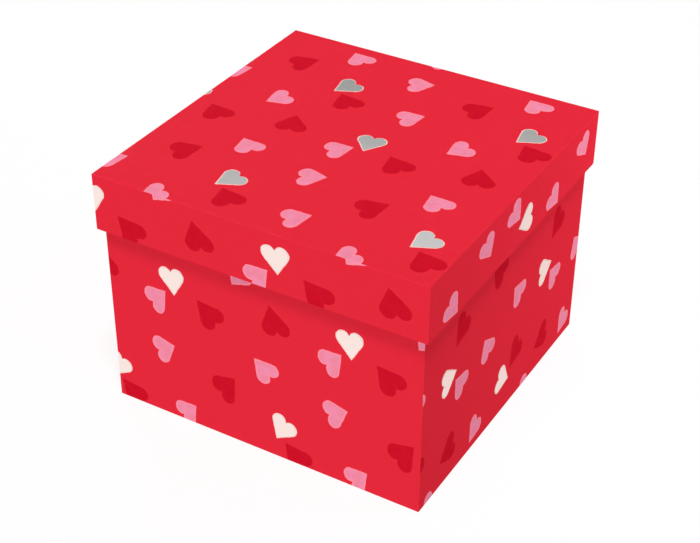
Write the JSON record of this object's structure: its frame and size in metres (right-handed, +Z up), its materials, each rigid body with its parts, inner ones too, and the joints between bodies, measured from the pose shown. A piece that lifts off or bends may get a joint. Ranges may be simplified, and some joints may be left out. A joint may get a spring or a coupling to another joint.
{
  "type": "gift box",
  "caption": "Square rigid gift box with a lift-off lid, board walls under printed red paper with stamped foil hearts and a white lining.",
  "frame": {"origin": "on the surface that the box stands on, under its centre", "axes": "+Z up through the lid, +X to the right and -Y towards the front, with the print upright on the front wall"},
  "size_m": [0.1702, 0.1702, 0.1251],
  "materials": {
    "grey_board": "matt grey board",
    "corner_tape": "matt gummed kraft tape",
    "printed_wrap": "smooth satin printed paper",
    "underside_paper": "matt plain red paper",
    "lining_paper": "matt white paper",
    "silver_foil": "bright stamped foil"
  },
  "bodies": {
    "base": {"base_floor_board": "grey_board", "base_front_board": "grey_board", "base_right_board": "grey_board", "base_back_board": "grey_board", "base_left_board": "grey_board", "base_front_right_stay": "corner_tape", "base_back_right_stay": "corner_tape", "base_back_left_stay": "corner_tape", "base_front_left_stay": "corner_tape", "base_wrap": "printed_wrap", "base_underside_sheet": "underside_paper", "base_floor_liner": "lining_paper", "base_wall_liner": "lining_paper", "base_foil_hearts": "silver_foil"},
    "lid": {"lid_top_board": "grey_board", "lid_front_board": "grey_board", "lid_right_board": "grey_board", "lid_back_board": "grey_board", "lid_left_board": "grey_board", "lid_front_right_stay": "corner_tape", "lid_back_right_stay": "corner_tape", "lid_back_left_stay": "corner_tape", "lid_front_left_stay": "corner_tape", "lid_wrap": "printed_wrap", "lid_liner": "lining_paper", "lid_foil_hearts": "silver_foil"}
  },
  "joints": [
    {"name": "lid_lift", "type": "slide", "parent": "base", "child": "lid", "axis": [0, 0, 1], "range_m": [0, 0.15]}
  ]
}
